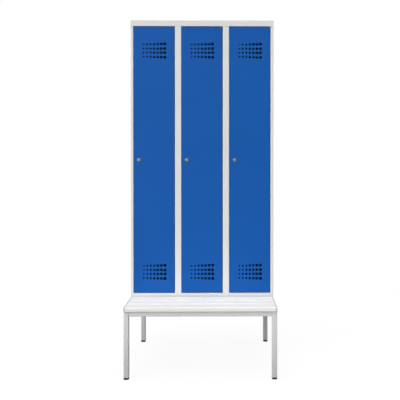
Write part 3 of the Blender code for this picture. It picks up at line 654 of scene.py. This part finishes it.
# %% Door skin folded from one sheet
SHEET = 0.8 * MM
FOLD_RADIUS = 1.8 * MM
DOOR_LIP = 12 * MM
SQUARE = 80
door_low, door_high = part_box("door_left")


def block(name, low, high):
    """A cube added with the place and size of a box."""
    low, high = Vector(low), Vector(high)
    bpy.ops.object.select_all(action="DESELECT")
    bpy.ops.mesh.primitive_cube_add(size=1, location=(low + high) / 2, scale=high - low)
    return settle(bpy.context.object, name)


door_skin = block("door_left_skin", door_low, door_high)
editing(door_skin)
choose("FACE", lambda face: face.normal.y > 0.9)
bpy.ops.mesh.inset(thickness=DOOR_LIP)
bpy.ops.mesh.delete(type="FACE")
choose("EDGE", lambda edge: crease(edge) > SQUARE)
bpy.ops.mesh.bevel(offset=FOLD_RADIUS, segments=4, affect="EDGES")
bpy.ops.mesh.select_all(action="SELECT")
bpy.ops.mesh.remove_doubles(threshold=WELD)
bpy.ops.mesh.normals_make_consistent(inside=False)
done_editing()
worked(door_skin, "SOLIDIFY", thickness=SHEET, offset=-1, use_even_offset=True)
print("door skin", [round(v * 1000, 1) for v in door_high - door_low], "mm")

# %% [markdown]
# The pivot pins turn in collars that are drawn inwards from the upper and lower
# edges. A Boolean union adds each collar and a difference bores it, as a tool
# would. The cutting pieces are thrown away afterwards.

# %% Helpers for round tools and Booleans
QUARTER = math.radians(90)
TURN_TO = {"X": (0, QUARTER, 0), "Y": (QUARTER, 0, 0), "Z": (0, 0, 0)}


def rod(name, centre, axis, radius, length, sides=32):
    """A cylinder about a point, lying along an axis."""
    bpy.ops.object.select_all(action="DESELECT")
    bpy.ops.mesh.primitive_cylinder_add(
        vertices=sides, radius=radius, depth=length, location=centre, rotation=TURN_TO[axis]
    )
    return settle(bpy.context.object, name)


def shaped_by(piece, tool, operation="DIFFERENCE"):
    """Applies a Boolean with a tool, which is then thrown away."""
    worked(piece, "BOOLEAN", operation=operation, object=tool, solver="EXACT")
    bpy.data.objects.remove(tool)
    return piece


# %% Collars round the pivot holes
PIN_INSET_X, PIN_INSET_Y = 10 * MM, 8 * MM
COLLAR_LENGTH = 8 * MM
COLLAR_OUTER, COLLAR_BORE = 4.4 * MM, 3.4 * MM
pin_x, pin_y = door_high.x - PIN_INSET_X, door_low.y + PIN_INSET_Y
for z in (door_low.z + COLLAR_LENGTH / 2, door_high.z - COLLAR_LENGTH / 2):
    collar = rod("collar", (pin_x, pin_y, z), "Z", COLLAR_OUTER, COLLAR_LENGTH)
    shaped_by(door_skin, collar, "UNION")
    bore = rod("bore", (pin_x, pin_y, z), "Z", COLLAR_BORE, 2 * COLLAR_LENGTH)
    shaped_by(door_skin, bore)
print("hinge axis", round(pin_x, 4), round(pin_y, 4))

# %% [markdown]
# The ventilation holes are square with rounded corners, and grow from the lock
# side to the hinge side. The outer rows fan out a little with them. One block is
# added for each hole.

# %% Punches for the ventilation holes
VENT_SMALL, VENT_LARGE = 8.8 * MM, 16.6 * MM
VENT_PITCH_X, VENT_PITCH_Z, VENT_FAN = 22.1 * MM, 25.4 * MM, 3.7 * MM
VENT_FIELDS = (door_low.z + 131.5 * MM, door_high.z - 151 * MM)
VENT_ROWS, VENT_COLUMNS = 4, 7
PUNCH_FRONT, PUNCH_BACK = door_low.y - 2 * MM, door_low.y + 3 * MM
door_middle = (door_low.x + door_high.x) / 2
punches = []
for field_z in VENT_FIELDS:
    for column in range(VENT_COLUMNS):
        share = column / (VENT_COLUMNS - 1)
        half = (VENT_SMALL + (VENT_LARGE - VENT_SMALL) * share) / 2
        x = door_middle + (column - (VENT_COLUMNS - 1) / 2) * VENT_PITCH_X
        for row in range(VENT_ROWS):
            steps = row - (VENT_ROWS - 1) / 2
            z = field_z + steps * VENT_PITCH_Z
            if row in (0, VENT_ROWS - 1):
                z += math.copysign(VENT_FAN * share, steps)
            low_corner = (x - half, PUNCH_FRONT, z - half)
            punches.append(block("punch", low_corner, (x + half, PUNCH_BACK, z + half)))
print(len(punches), "holes in a door")

# %% [markdown]
# All punches are joined, and one bevel rounds their corners together. Joined,
# they also cut the sheet in a single Boolean.

# %% Join the punches and round their corners
VENT_CORNER = 1.2 * MM


def merged(name, pieces):
    """Joins several pieces into the first of them."""
    take(pieces[0])
    for piece in pieces[1:]:
        piece.select_set(True)
    bpy.ops.object.join()
    return settle(bpy.context.object, name)


vent_punch = merged("vent_punch", punches)
editing(vent_punch)
corners = choose("EDGE", lambda edge: along(edge, 1))
bpy.ops.mesh.bevel(offset=VENT_CORNER, segments=3, affect="EDGES")
done_editing()
print(corners, "punch corners rounded")

# %% [markdown]
# The punch rolls the front rim of each hole slightly inwards. A narrow bevel on
# the rims alone gives the bright and dark hairlines that the eye reads as sheet.

# %% Punch the door and roll the rims
LOCK_INSET = 33 * MM
LOCK_HOLE, LOCK_PUNCH = 9.7 * MM, 6 * MM
RIM_ROLL = 0.15 * MM
lock_x, lock_z = door_low.x + LOCK_INSET, (door_low.z + door_high.z) / 2
lock_punch = rod("lock_punch", (lock_x, door_low.y, lock_z), "Y", LOCK_HOLE, LOCK_PUNCH)
shaped_by(door_skin, vent_punch)
shaped_by(door_skin, lock_punch)


def on_front_rim(edge):
    """True for the edges of holes in the front face."""
    flush = all(abs(v.co.y - door_low.y) < WELD for v in edge.verts)
    return flush and crease(edge) > SQUARE


editing(door_skin)
rims = choose("EDGE", on_front_rim)
bpy.ops.mesh.bevel(offset=RIM_ROLL, segments=2, affect="EDGES")
done_editing()
smoothed(door_skin)
print(rims, "rim edges rolled,", len(door_skin.data.polygons), "faces")

# %% [markdown]
# The three doors come from the same tool, so the skin is copied by the pitch of
# the openings. Each copy takes its own mesh and moves with its own hinge.

# %% Three doors
PLACES = ("left", "middle", "right")
OPENING_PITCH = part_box("door_middle")[0].x - door_low.x


def placed_copy(piece, name, offset=(0, 0, 0)):
    """A copy with a mesh of its own, moved in the mesh."""
    take(piece)
    bpy.ops.object.duplicate(linked=False)
    made = bpy.context.object
    made.location = offset
    return settle(made, name)


def copies_along(piece, stem, ending=""):
    """The piece under its left name, and a copy for the other two compartments."""
    made = {"left": piece}
    for number, place in enumerate(PLACES[1:], start=1):
        offset = (number * OPENING_PITCH, 0, 0)
        made[place] = placed_copy(piece, f"{stem}_{place}{ending}", offset)
    return made


for place, skin in copies_along(door_skin, "door", "_skin").items():
    stand_in(skin, f"door_{place}")
    stand_in(rounded_copy(f"door_stiffener_{place}", "painted"), f"door_stiffener_{place}")
print("doors stand", round(OPENING_PITCH * 1000, 1), "mm apart")

# %% [markdown]
# ## Turned parts
# Locks, pins, screws and buffers are all turned or moulded round. A circle is
# extruded ring by ring through a list of radius and depth, as a lathe tool
# follows a profile, and its open ends are filled.

# %% Helpers for turned parts
RING_WELD = 0.002 * MM


def rings(start, *pairs):
    """Rings of a profile, each given in mm as its radius and its distance from a start."""
    return [(radius * MM, start + distance * MM) for radius, distance in pairs]


def turned(name, centre, axis, profile, sides=32, closed_ring=False):
    """Rings of (radius, place along the axis) about a centre; a closed ring has a bore."""
    index = "XYZ".index(axis)
    centre = Vector(centre)
    radius, depth = profile[0]
    centre[index] = depth
    bpy.ops.object.select_all(action="DESELECT")
    bpy.ops.mesh.primitive_circle_add(
        vertices=sides, radius=radius, location=centre, rotation=TURN_TO[axis]
    )
    piece = settle(bpy.context.object, name)
    editing(piece)
    bpy.ops.mesh.select_mode(type="EDGE")
    bpy.ops.mesh.select_all(action="SELECT")
    for next_radius, next_depth in profile[1:] + (profile[:1] if closed_ring else []):
        step = Vector((0, 0, 0))
        step[index] = next_depth - depth
        bpy.ops.mesh.extrude_edges_move(TRANSFORM_OT_translate={"value": step})
        centre[index] = next_depth
        size = [next_radius / radius] * 3
        size[index] = 1
        bpy.ops.transform.resize(value=size, center_override=centre)
        radius, depth = next_radius, next_depth
    bpy.ops.mesh.select_all(action="SELECT")
    bpy.ops.mesh.remove_doubles(threshold=RING_WELD)
    if not closed_ring:
        bpy.ops.mesh.fill_holes(sides=0)
    bpy.ops.mesh.select_all(action="SELECT")
    bpy.ops.mesh.normals_make_consistent(inside=False)
    done_editing()
    return piece


# %% [markdown]
# ## Cam locks
# A cam lock is a plated case with a flanged front, threaded behind for a nut,
# round a brass core with the keyway. The front flange has a shallow ring in it.
# The thread is drawn as rings, which look the same as a spiral at this size.

# %% Lock case with its thread
THREAD_START, THREAD_PITCH, PLAIN_END = 6.2 * MM, 1.25 * MM, 0.8 * MM
THREAD_ROOT, THREAD_CREST = 9 * MM, 9.5 * MM
front = door_low.y
case_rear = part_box("lock_barrel_left")[1].y
case_profile = rings(
    front, (6.2, -2.6), (6.6, -3), (7.9, -3), (8.2, -2.7), (8.6, -2.7), (8.9, -3), (10.4, -3),
    (11.3, -2.6), (11.8, -1.9), (12, -1), (12, -0.3), (9.2, -0.3), (9.2, 1),
)
thread_y = front + THREAD_START
while thread_y + THREAD_PITCH < case_rear - PLAIN_END:
    case_profile.append((THREAD_ROOT, thread_y))
    case_profile.append((THREAD_CREST, thread_y + THREAD_PITCH / 2))
    thread_y += THREAD_PITCH
case_profile += rings(case_rear, (8.8, 0), (6.2, 0))
lock_case = turned(
    "lock_case_left", (lock_x, 0, lock_z), "Y", case_profile, sides=48, closed_ring=True
)
print("lock case", len(case_profile), "rings")

# %% [markdown]
# The nut that clamps the case to the sheet is a thin hexagon with its corners
# turned off. It never moves on the case, so both are one piece.

# %% Nut behind the door
NUT_RADIUS, NUT_BORE, NUT_DRILL = 13.5 * MM, 9.3 * MM, 20 * MM
NUT_FROM, NUT_TO = 1.1 * MM, 6.1 * MM
nut_front, nut_back = front + NUT_FROM, front + NUT_TO
nut = rod(
    "lock_nut", (lock_x, (nut_front + nut_back) / 2, lock_z), "Y",
    NUT_RADIUS, nut_back - nut_front, sides=6,
)
dome_profile = rings(nut_front, (12.2, -0.1), (13.6, 1)) + rings(nut_back, (13.6, -1), (12.2, 0.1))
shaped_by(nut, turned("nut_dome", (lock_x, 0, lock_z), "Y", dome_profile), "INTERSECT")
shaped_by(nut, rod("nut_bore", (lock_x, nut_front, lock_z), "Y", NUT_BORE, NUT_DRILL))
lock_case = smoothed(merged("lock_case_left", [lock_case, nut]), degrees=30)
for place, piece in copies_along(lock_case, "lock_case").items():
    stand_in(piece, f"lock_barrel_{place}")
print("nut", round(NUT_RADIUS * 2000, 1), "mm across its corners")

# %% [markdown]
# The core turns with the key and carries the cam on a rivet behind. Its keyway
# is a narrow slot with a wider middle, cut by two blocks.

# %% Brass core with its keyway
core_front, core_back = (corner.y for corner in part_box("lock_plug_left"))
cam_front, cam_back = (corner.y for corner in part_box("lock_cam_left"))
core = turned("lock_core_left", (lock_x, 0, lock_z), "Y", [
    *rings(core_front, (5.3, 0), (5.8, 0.2), (6, 0.6)),
    *rings(cam_front, (6, -0.3), (3, -0.3)),
    *rings(cam_back, (3, 0.3), (5, 0.3), (4.8, 0.9)),
    *rings(core_back, (3.8, -0.2), (2.2, 0)),
])
KEYWAY_FRONT, KEYWAY_BACK = core_front - 2 * MM, core_front + 6 * MM
for half_width, low_z, high_z in ((0.45, -3.9, 3.9), (0.8, -1.2, 2.4)):
    shaped_by(core, block(
        "keyway",
        (lock_x - half_width * MM, KEYWAY_FRONT, lock_z + low_z * MM),
        (lock_x + half_width * MM, KEYWAY_BACK, lock_z + high_z * MM),
    ))
smoothed(core, degrees=30)
for place, piece in copies_along(core, "lock_core").items():
    stand_in(piece, f"lock_plug_{place}")
    cam = rounded_copy(f"lock_cam_{place}", "pressed", cut=0.25 * MM)
    stand_in(cam, f"lock_cam_{place}")
print("cores stand", round((front - core_front) * 1000, 1), "mm proud of the doors")

# %% [markdown]
# ## Pivot pins
# Each door hangs between a pin riveted into the header and one in the sill. The
# lower pin has a shoulder that carries the door. They are turned from the same
# profiles as the solids, with more sides and broken edges.

# %% Pivot pins
def pin_profile(level):
    """The rings of an upper or a lower pin, from its riveted head to its tip."""
    low, high = (corner.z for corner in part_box(f"pivot_pin_{level}_left"))
    if level == "upper":
        head = rings(high, (4.2, 0), (5, -0.7), (5, -2), (3, -2))
        return head + rings(low, (3, 0.8), (2.4, 0))
    head = rings(low, (4.2, 0), (5, 0.7), (5, 2), (3, 2))
    shoulder = rings(low, (3, 3.4), (5, 3.4), (5, 5.3), (3, 5.3))
    return head + shoulder + rings(high, (3, -0.8), (2.4, 0))


for level in ("upper", "lower"):
    pin = turned(f"pivot_{level}_left", (pin_x, pin_y, 0), "Z", pin_profile(level), sides=24)
    smoothed(pin, degrees=30)
    for place, piece in copies_along(pin, f"pivot_{level}").items():
        stand_in(piece, f"pivot_pin_{level}_{place}")
print("pins at x", round(pin_x, 4))

# %% [markdown]
# ## Seat slats
# The slats are PVC profiles with well-rounded upper edges, cut to length. Their
# ends may have one more rounded rim, for the caps that close them.

# %% A length of the slat's section
SLAT_TOP_RADIUS, SLAT_BOTTOM_RADIUS = 5 * MM, 2 * MM


def slat_section(name, low, high, rim=0.0, outward=0):
    """A length of the slat's section; the end that faces outward may have a round rim."""
    piece = block(name, low, high)
    editing(piece)
    middle_z = (low.z + high.z) / 2
    choose("EDGE", lambda edge: along(edge, 0) and edge.verts[0].co.z > middle_z)
    bpy.ops.mesh.bevel(offset=SLAT_TOP_RADIUS, segments=6, affect="EDGES")
    choose("EDGE", lambda edge: along(edge, 0) and crease(edge) > SQUARE)
    bpy.ops.mesh.bevel(offset=SLAT_BOTTOM_RADIUS, segments=3, affect="EDGES")
    if rim:
        end = high.x if outward > 0 else low.x
        choose("EDGE", lambda edge: all(abs(v.co.x - end) < WELD for v in edge.verts))
        bpy.ops.mesh.bevel(offset=rim, segments=3, affect="EDGES")
    done_editing()
    return smoothed(piece)


# %% [markdown]
# A moulded cap of light grey plastic closes each end of a slat. It has the same
# section with its outer rim rounded, and meets the profile in a hairline joint.

# %% Three slats with their end caps
SLATS = ("seat_slat_front", "seat_slat_middle", "seat_slat_rear")
CAP_THICKNESS = 8 * MM
CAP_JOINT = 0.25 * MM
CAP_RIM = 1.2 * MM


def capped_slat(node):
    """A slat and its two caps, which stand for one node together."""
    low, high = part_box(node)
    inner = Vector((CAP_THICKNESS + CAP_JOINT, 0, 0))
    stand_in(slat_section(f"{node}_profile", low + inner, high - inner), node)
    left_cap_end = Vector((low.x + CAP_THICKNESS, high.y, high.z))
    right_cap_start = Vector((high.x - CAP_THICKNESS, low.y, low.z))
    for cap in (
        slat_section(f"{node}_cap_left", low, left_cap_end, CAP_RIM, -1),
        slat_section(f"{node}_cap_right", right_cap_start, high, CAP_RIM, 1),
    ):
        painted(cap, CAP_GREY, "cabinet")
        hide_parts(node)


for node in SLATS:
    capped_slat(node)
slat_size = [round(v * 1000, 1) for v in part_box(node)[1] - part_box(node)[0]]
print("slat", slat_size, "mm")

# %% [markdown]
# ## Feet, rails and hooks
# The plastic feet, the oval coat rails and the sliding hooks only need softer
# edges than the solids have: moulded plastic has a radius on every corner, and
# the rail is a drawn oval tube.

# %% Feet, coat rails and hooks
for node, slot in sorted(SLOT_OF.items()):
    if node.startswith("foot_plug"):
        stand_in(rounded_copy(node, "moulded", fold=0.6 * MM, cut=0.3 * MM), node)
    elif node.startswith("coat_rail"):
        stand_in(rounded_copy(node, "drawn", fold=1.6 * MM, cut=0.15 * MM), node)
    elif node.startswith("hook"):
        hook = rounded_copy(node, "moulded", 1.2 * MM, 0.6 * MM, gentle=20, hollows=False)
        stand_in(hook, node)
print("soft edges on feet, rails and hooks")

# %% [markdown]
# ## Small fittings
# Small things make a locker look built: screws that hold the slats from below,
# bolts that hold the cabinet to the frame, weld beads where the tubes meet, and
# rubber buffers that quieten the doors. Each is modelled once, copied to its
# places, and the first one is thrown away.

# %% Helpers that place the fittings
def middle_of(low, high):
    """The middle of a box that is given by its corners."""
    return [(a + b) / 2 for a, b in zip(low, high)]


def scattered(pattern, stem, places, material):
    """Copies a pattern to its places on the cabinet, and throws the pattern away."""
    for number, place in enumerate(places, start=1):
        made = placed_copy(pattern, f"{stem}_{number}", place)
        painted(made, material, "cabinet")
    bpy.data.objects.remove(pattern)
    print(len(places), "of", stem)


rail_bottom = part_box("base_rail_left")[0].z
side_rail_x = middle_of(*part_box("base_rail_left"))[0]
print("side rails at x", round(side_rail_x, 4), "and", round(-side_rail_x, 4))

# %% [markdown]
# The slats are screwed from below, through both side rails and the strut. A
# pan-head screw is turned, and two crossed bars cut its recess.

# %% Pan-head screws under the slats
RECESS_REACH, RECESS_WIDTH, RECESS_DEPTH = 2.4 * MM, 0.5 * MM, 1.4 * MM
RECESS_DROP = 2.4 * MM
STRUT_SCREW_INSET = 12 * MM


def cross_recess(centre):
    """Two crossed bars that cut a screw's recess."""
    bars = [
        block("bar", centre - Vector(half), centre + Vector(half))
        for half in (
            (RECESS_REACH, RECESS_WIDTH, RECESS_DEPTH),
            (RECESS_WIDTH, RECESS_REACH, RECESS_DEPTH),
        )
    ]
    return shaped_by(bars[0], bars[1], "UNION")


screw = turned(
    "slat_screw", (side_rail_x, 0, 0), "Z",
    rings(rail_bottom, (4.5, 0.1), (4.5, -0.9), (4.1, -1.7), (3, -2.2)), sides=24,
)
shaped_by(screw, cross_recess(Vector((side_rail_x, 0, rail_bottom - RECESS_DROP))))
smoothed(screw, degrees=30)
slat_middles = [middle_of(*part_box(node))[1] for node in SLATS]
strut_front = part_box("seat_strut")[0].y
screw_places = [
    (x - side_rail_x, max(y, strut_front + STRUT_SCREW_INSET) if x == 0 else y, 0)
    for x in (side_rail_x, 0, -side_rail_x) for y in slat_middles
]
scattered(screw, "screw_under_slat", screw_places, ZINC)

# %% [markdown]
# A hexagon bolt with a washer goes up through each side rail near the corners
# of the cabinet. The corners of its head are turned off as on the lock nut.

# %% Bolts under the cabinet
BOLT_INSET = 60 * MM
BOLT_HEAD_RADIUS, BOLT_HEAD_HEIGHT, BOLT_HEAD_DROP = 7.5 * MM, 5 * MM, 3.9 * MM
cabinet_low, cabinet_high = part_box("side_panel_left")
bolt_head = rod(
    "bolt_head", (side_rail_x, 0, rail_bottom - BOLT_HEAD_DROP), "Z",
    BOLT_HEAD_RADIUS, BOLT_HEAD_HEIGHT, sides=6,
)
bolt_round = turned(
    "bolt_round", (side_rail_x, 0, 0), "Z",
    rings(rail_bottom, (7.6, -1.3), (7.6, -5.6), (6.3, -6.5)),
)
shaped_by(bolt_head, bolt_round, "INTERSECT")
washer = turned(
    "bolt_washer", (side_rail_x, 0, 0), "Z",
    rings(rail_bottom, (9, 0.1), (9, -1.2), (8.7, -1.5), (3, -1.5)),
)
bolt = smoothed(merged("frame_bolt", [bolt_head, washer]), degrees=30)
bolt_places = [
    (x - side_rail_x, y, 0)
    for x in (side_rail_x, -side_rail_x)
    for y in (cabinet_low.y + BOLT_INSET, cabinet_high.y - BOLT_INSET)
]
scattered(bolt, "bolt_under_cabinet", bolt_places, ZINC)

# %% [markdown]
# The frame is welded in the inner corners, where a bead fills the angle between
# two tubes. A bead is a bar whose rings swell and shrink: Subdivide adds the
# rings, every other one is enlarged, and the result is smoothed.

# %% Weld beads in the frame's corners
BEAD_RADIUS, BEAD_LENGTH = 2.2 * MM, 24 * MM
BEAD_SWELL, BEAD_TIP = 1.16, 0.55
RIPPLES = 9
bead = rod("weld_bead", (0, 0, 0), "Y", BEAD_RADIUS, BEAD_LENGTH, sides=10)
editing(bead)
choose("EDGE", lambda edge: along(edge, 1))
bpy.ops.mesh.subdivide(number_cuts=2 * RIPPLES)
spacing = BEAD_LENGTH / (2 * RIPPLES + 1)
choose("VERT", lambda v: round((v.co.y + BEAD_LENGTH / 2) / spacing) % 2 == 1)
bpy.ops.transform.resize(value=(BEAD_SWELL, 1, BEAD_SWELL), center_override=(0, 0, 0))
choose("VERT", lambda v: abs(v.co.y) > BEAD_LENGTH / 2 - WELD)
bpy.ops.transform.resize(value=(BEAD_TIP, 1, BEAD_TIP), center_override=(0, 0, 0))
done_editing()
smoothed(bead, degrees=60)

inner_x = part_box("leg_front_left")[1].x
bead_places = [
    (side * inner_x, middle_of(*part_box(node))[1], rail_bottom)
    for side in (1, -1) for node in ("leg_front_left", "leg_rear_left", "base_rail_middle")
]
scattered(bead, "weld_bead", bead_places, GREY_FRAME)

# %% [markdown]
# Each door closes on two rubber buffers on the stop beside the lock. They are
# small domes, a little lower than the space between the stop and the door.

# %% Rubber door buffers
BUFFER_INSET_X, BUFFER_INSET_Z = 4 * MM, 140 * MM
STOP_GAP = 6 * MM
buffer = turned(
    "door_buffer", (door_low.x + BUFFER_INSET_X, 0, door_low.z + BUFFER_INSET_Z), "Y",
    rings(door_high.y + STOP_GAP, (4, 0), (4, -2.2), (3.4, -4), (2.2, -4.9), (0.8, -5.3)),
    sides=24,
)
smoothed(buffer, degrees=50)
buffer_rise = door_high.z - door_low.z - 2 * BUFFER_INSET_Z
buffer_places = [
    (index * OPENING_PITCH, 0, rise)
    for index in range(len(PLACES)) for rise in (0, buffer_rise)
]
scattered(buffer, "door_buffer", buffer_places, RUBBER)
